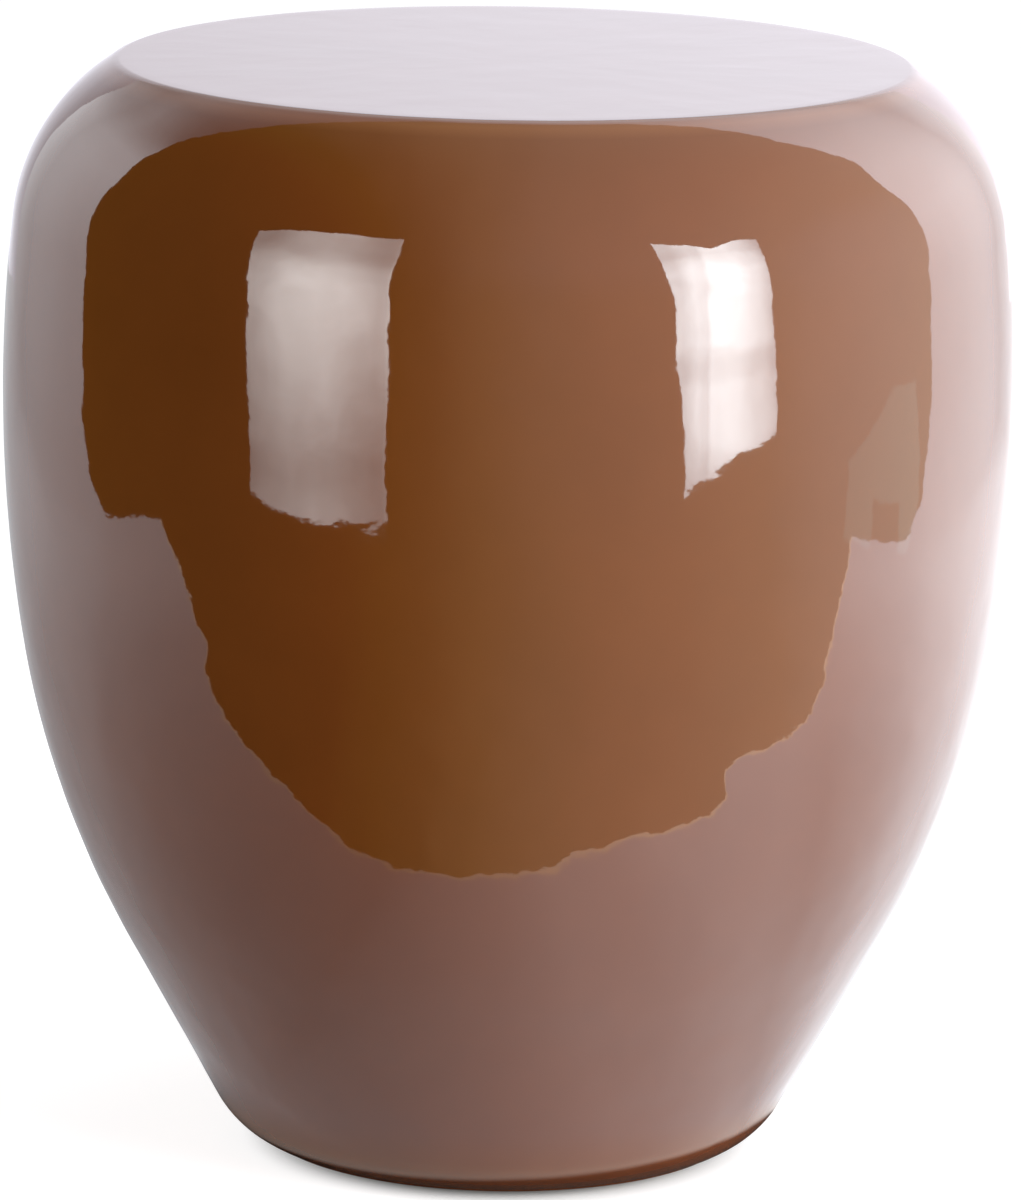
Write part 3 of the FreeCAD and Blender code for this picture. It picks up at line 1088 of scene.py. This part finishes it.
def windowMaterial(name, panel):
    def windowLevels(tree):
        uv = addNode(tree, "ShaderNodeTexCoord").outputs["UV"]
        xy = addNode(tree, "ShaderNodeSeparateXYZ", {0: uv}).outputs
        # soft folds in the cloth or curtain, a hand or two across
        fold = addNode(
            tree, "ShaderNodeTexNoise",
            {"Vector": uv, "Scale": 4.0, "Detail": 3.0, "Distortion": 0.3}, noise_dimensions="2D",
        )
        fold = addNode(
            tree, "ShaderNodeMapRange",
            {
                "Value": fold.outputs[0], "From Min": 0.3, "From Max": 0.7,
                "To Min": panel["strength"] * 0.94, "To Max": panel["strength"] * 1.09,
            },
        )
        upward = rampOver(tree, xy["Y"], *panel["upRange"], panel["upward"])
        sideways = rampOver(tree, xy["X"], *panel["acrossRange"], panel["sideways"])
        return upward, sideways, fold.outputs[0]
    return glowMaterial(name, panel["colour"], windowLevels)


def makePanels():
    # a soft box on the left, daylight through a window on the right, and the room's pale wall
    addPanel("leftWindow", softBox, windowMaterial("softBoxCloth", softBox))
    addPanel("rightWindow", dayLight, windowMaterial("dayLight", dayLight))
    material, tree = newMaterial("alcoveWall")
    # the room's pale wall glows with painted light
    glow = addNode(
        tree, "ShaderNodeEmission",
        {"Color": alcove["colour"], "Strength": alcove["strength"]},
    )
    clear = addNode(tree, "ShaderNodeBsdfTransparent")
    wall = addNode(tree, "ShaderNodeAddShader", {0: glow.outputs[0], 1: clear.outputs[0]})
    finishMaterial(tree, wall.outputs[0])
    addPanel("alcove", alcove, material)
    print("windows and wall set")


table = {
    "boardColour": (0.65, 0.65, 0.66, 1.0),
    "cameraGlow": 0.84,  # lifts the board to the white background
    # painted light: the cloth glows brighter towards the right
    "sideGlow": [  # across the cloth, from 0.6 m left to 0.6 m right
        (0.0, 0.190), (0.3, 0.15), (0.39, 0.155), (0.45, 0.235), (0.5, 0.31),
        (0.55, 0.42), (0.6, 0.46), (0.667, 0.57), (1.0, 0.8),
    ],
    # painted shade beside and behind the stool, to its right and to its left
    "behindRight": [(0.17, 1.0), (0.26, 0.92), (0.35, 0.75), (0.65, 0.74), (0.87, 0.54)],
    "behindLeft": [(0.17, 1.0), (0.65, 0.92), (0.87, 0.66), (1.0, 0.75)],
    "strength": 5.0,
    "front": -0.35,  # the cloth ends here, plus what its hem adds
    "hemDepth": 0.15,
    "hem": [
        (0.0, 0.66), (0.1, 0.36), (0.235, 0.27), (0.255, 0.5), (0.3, 0.44), (0.38, 0.33),
        (0.45, 0.32), (0.5, 0.24), (0.58, 0.13), (0.645, 0.38), (0.66, 0.14), (0.7, 0.42),
        (0.77, 0.82), (0.88, 0.66), (1.0, 0.66),
    ],
    "fray": 0.0125,
    "hemColour": (1.5, 1.27, 1.0, 1.0),  # light shines through the single cloth of the hem
    # painted warm light, bounced off the glaze onto the cloth beside the foot
    "footBounceColour": (1.0, 0.89, 0.8, 1.0),  # and the glaze warms the cloth beside the foot
}


def addShade(tree, place, middle, low, high, darkest, **settings):
    # a round dark patch about a point of the cloth, which fades out from low to high
    away = addNode(tree, "ShaderNodeVectorMath", {0: place, 1: middle}, operation="DISTANCE")
    fade = addNode(
        tree, "ShaderNodeMapRange",
        {
            "Value": away.outputs["Value"], "From Min": low, "From Max": high,
            "To Min": darkest,
        },
        **settings,
    )
    return fade.outputs[0]


def clothColour(tree, past, reach):
    # past is how far a point lies behind the hem, reach how far from the stool's axis
    colour = studio["clothColour"]
    # painted light: warmer where light shines through the hem and, beside the foot, where it
    # bounces off the glaze
    for value, low, high, warm in (
        (past, 0.003, 0.007, table["hemColour"]), (reach, 0.115, 0.135, table["footBounceColour"]),
    ):
        away = addNode(
            tree, "ShaderNodeMapRange", {"Value": value, "From Min": low, "From Max": high}
        )
        colour = addNode(
            tree, "ShaderNodeMix", {"Factor": away.outputs[0], "A": warm, "B": colour},
            data_type="RGBA",
        ).outputs["Result"]
    return colour


def makeFloor():
    # matte white board; in reflections it is the table cloth inside the tent, glowing with painted
    # light and shade, which ends in a slightly wavy hem, and camera rays add a little glow so that
    # it meets the white background, less under the foot, a painted contact shadow
    material, tree = newMaterial("whiteBoard")
    path = addNode(tree, "ShaderNodeLightPath").outputs
    place = addNode(tree, "ShaderNodeTexCoord").outputs["Object"]
    xyz = addNode(tree, "ShaderNodeSeparateXYZ", {0: place}).outputs
    reach = addNode(tree, "ShaderNodeVectorMath", {0: place}, operation="LENGTH").outputs["Value"]
    # painted light: the cloth glows brighter towards the right, as lit from that side
    side = rampOver(tree, xyz["X"], -0.6, 0.6, table["sideGlow"])
    # painted shade: darker beside and behind the stool than in front of it
    turn = addNode(
        tree, "ShaderNodeMath", {0: xyz["Y"], 1: reach}, operation="DIVIDE"
    ).outputs[0]
    onRight = addNode(
        tree, "ShaderNodeMath", {0: xyz["X"], 1: 0.0}, operation="GREATER_THAN"
    ).outputs[0]
    behindLeft, behindRight = [
        rampOver(tree, turn, -1.0, 1.0, table[stops]) for stops in ("behindLeft", "behindRight")
    ]
    behind = addNode(
        tree, "ShaderNodeMix", {"Factor": onRight, "A": behindLeft, "B": behindRight},
        data_type="FLOAT",
    ).outputs[0]
    cloth = addNode(
        tree, "ShaderNodeMapRange",
        {
            "Value": reach, "From Min": 0.2, "From Max": 0.6,
            "To Min": table["strength"] * 0.92, "To Max": table["strength"] * 1.05,
        },
    ).outputs[0]
    for level in (side, behind):
        cloth = addNode(
            tree, "ShaderNodeMath", {0: cloth, 1: level}, operation="MULTIPLY"
        ).outputs[0]
    # it meets the tent walls without an edge
    outward = addNode(tree, "ShaderNodeMath", {0: xyz["X"]}, operation="ABSOLUTE")
    outward = addNode(
        tree, "ShaderNodeMapRange",
        {"Value": outward.outputs[0], "From Min": 0.5, "From Max": 1.1},
        interpolation_type="SMOOTHSTEP",
    )
    bright = addNode(
        tree, "ShaderNodeMix",
        {"Factor": outward.outputs[0], "A": cloth, "B": wallLevel(tree, xyz["Y"], onRight)},
        data_type="FLOAT",
    ).outputs[0]
    # close to the foot it is in the stool's own shade
    contact = addShade(
        tree, place, (0.0085, 0.007, 0.0), 0.111, 0.118, 0.07, interpolation_type="SMOOTHSTEP"
    )
    shade = addShade(tree, place, (-0.01, 0.03, 0.0), 0.11, 0.145, 0.15)
    for level in (contact, shade):
        bright = addNode(
            tree, "ShaderNodeMath", {0: bright, 1: level}, operation="MULTIPLY"
        ).outputs[0]
    # the hem: how far it runs forward, by the share of the way from the left wall to the right
    share = addNode(
        tree, "ShaderNodeMapRange",
        {"Value": xyz["X"], "From Min": studio["left"], "From Max": studio["right"]},
        clamp=False,
    ).outputs[0]
    hem = rampOver(tree, share, 0.0, 1.0, table["hem"], "CARDINAL")
    fray = addNode(tree, "ShaderNodeTexNoise", {"Vector": place, "Scale": 28.0, "Detail": 2.0})
    fray = addNode(
        tree, "ShaderNodeMapRange",
        {"Value": fray.outputs[0], "To Min": -table["fray"], "To Max": table["fray"]},
    )
    hem = addNode(
        tree, "ShaderNodeMath", {0: hem, 1: table["hemDepth"], 2: table["front"]},
        operation="MULTIPLY_ADD",
    )
    hem = addNode(
        tree, "ShaderNodeMath", {0: hem.outputs[0], 1: fray.outputs[0]}, operation="ADD"
    )
    past = addNode(
        tree, "ShaderNodeMath", {0: xyz["Y"], 1: hem.outputs[0]}, operation="SUBTRACT"
    ).outputs[0]
    ahead = addNode(tree, "ShaderNodeMath", {0: past, 1: 0.0}, operation="LESS_THAN")
    inside = addNode(tree, "ShaderNodeMath", {0: share, 1: 0.5, 2: 0.5}, operation="COMPARE")
    beyond = addNode(tree, "ShaderNodeMath", {0: 1.0, 1: inside.outputs[0]}, operation="SUBTRACT")
    outside = addNode(
        tree, "ShaderNodeMath", {0: ahead.outputs[0], 1: beyond.outputs[0]}, operation="MAXIMUM"
    )
    glow = addNode(
        tree, "ShaderNodeEmission", {"Color": clothColour(tree, past, reach), "Strength": bright}
    )
    clear = addNode(tree, "ShaderNodeBsdfTransparent")
    mirrored = addNode(
        tree, "ShaderNodeMixShader",
        {0: outside.outputs[0], 1: glow.outputs[0], 2: clear.outputs[0]},
    )
    board = addNode(tree, "ShaderNodeBsdfDiffuse", {"Color": table["boardColour"]})
    # the camera glow fades out under the foot: a painted contact shadow
    around = addNode(
        tree, "ShaderNodeMapRange",
        {"Value": reach, "From Min": 0.08, "From Max": 0.108, "To Max": table["cameraGlow"]},
        interpolation_type="SMOOTHSTEP",
    )
    seen = addNode(
        tree, "ShaderNodeMath", {0: path["Is Camera Ray"], 1: around.outputs[0]},
        operation="MULTIPLY",
    )
    lift = addNode(
        tree, "ShaderNodeEmission", {"Color": (1, 1, 1, 1), "Strength": seen.outputs[0]}
    )
    lit = addNode(tree, "ShaderNodeAddShader", {0: board.outputs[0], 1: lift.outputs[0]})
    both = addNode(
        tree, "ShaderNodeMixShader",
        {0: path["Is Glossy Ray"], 1: lit.outputs[0], 2: mirrored.outputs[0]},
    )
    finishMaterial(tree, both.outputs[0])
    mesh = bpy.data.meshes.new("floor")
    mesh.from_pydata([(-12, -12, 0), (12, -12, 0), (12, 12, 0), (-12, 12, 0)], [], [(0, 1, 2, 3)])
    mesh.materials.append(material)
    linkObject("floor", mesh)
    print("floor set")


lamps = {
    "keyLamp": {"place": (2.6, -2.03, 1.15), "aim": (0, 0, 0.25), "size": 1.8, "power": 95.0},
    "fillLamp": {"place": (-3.0, -0.2, 0.9), "aim": (0, 0, 0.25), "size": 1.6, "power": 15.5},
    "topLamp": {"place": (0.4, 0.6, 3.0), "aim": (0, 0, 0.2), "size": 2.0, "power": 14.5},
}


def addLamp(name, values):
    data = bpy.data.lights.new(name, "AREA")
    data.shape = "DISK"
    data.size = values["size"]
    data.energy = values["power"]
    lamp = linkObject(name, data)
    toward = Vector(values["aim"]) - Vector(values["place"])
    lamp.matrix_world = (
        Matrix.Translation(values["place"])
        @ toward.to_track_quat("-Z", "Y").to_matrix().to_4x4()
    )
    lamp.visible_glossy = False
    lamp.visible_camera = False


room = {
    "colours": [  # by direction, from the left to the far right, as (position, red, green, blue)
        (0.0, 0.06, 0.04, 0.0),
        (0.1, 0.09, 0.09, 0.01),
        (0.19, 0.135, 0.135, 0.04),
        (0.31, 0.29, 0.265, 0.115),
        (0.47, 0.41, 0.385, 0.235),
        (0.60, 0.51, 0.455, 0.315),
        (0.75, 0.64, 0.56, 0.41),
        (0.90, 0.79, 0.74, 0.56),
        (1.0, 1.0, 1.0, 0.88),
    ],
    "strength": 2.5,
    "haze": (0.3, 0.28, 0.42, 1.0),  # adds to the upper middle
    "fill": 0.2,  # what the world gives to diffuse rays
}


def makeWorld():
    world = bpy.data.worlds.new("room")
    bpy.context.scene.world = world
    world.use_nodes = True
    tree = world.node_tree
    tree.nodes.clear()
    path = addNode(tree, "ShaderNodeLightPath").outputs
    place = addNode(tree, "ShaderNodeTexCoord").outputs["Generated"]
    xyz = addNode(tree, "ShaderNodeSeparateXYZ", {0: place}).outputs
    colour = rampOver(tree, xyz["X"], -0.6, 1.0, room["colours"])
    above = addNode(
        tree, "ShaderNodeMapRange", {"Value": xyz["Z"], "From Min": -0.35, "From Max": 0.35}
    )
    aside = addNode(
        tree, "ShaderNodeMapRange", {"Value": xyz["X"], "From Min": -0.45, "From Max": 0.1}
    )
    upper = addNode(
        tree, "ShaderNodeMath", {0: above.outputs[0], 1: aside.outputs[0]}, operation="MULTIPLY"
    )
    white = (1.0, 1.0, 1.0, 1.0)
    warm, cool, plain, backdrop = [
        addNode(tree, "ShaderNodeBackground", {"Color": tint, "Strength": strength}).outputs[0]
        for tint, strength in (
            (colour, room["strength"]), (room["haze"], upper.outputs[0]),
            (white, room["fill"]), (white, 1.0),
        )
    ]
    mirrored = addNode(tree, "ShaderNodeAddShader", {0: warm, 1: cool})
    first = addNode(
        tree, "ShaderNodeMixShader", {0: path["Is Glossy Ray"], 1: plain, 2: mirrored.outputs[0]}
    )
    both = addNode(
        tree, "ShaderNodeMixShader", {0: path["Is Camera Ray"], 1: first.outputs[0], 2: backdrop}
    )
    addNode(tree, "ShaderNodeOutputWorld", {"Surface": both.outputs[0]})


makeTent()
makePanels()
makeFloor()
makeWorld()
for name, values in lamps.items():
    addLamp(name, values)
bpy.context.scene.view_settings.view_transform = "Standard"
print("lamps and room set")
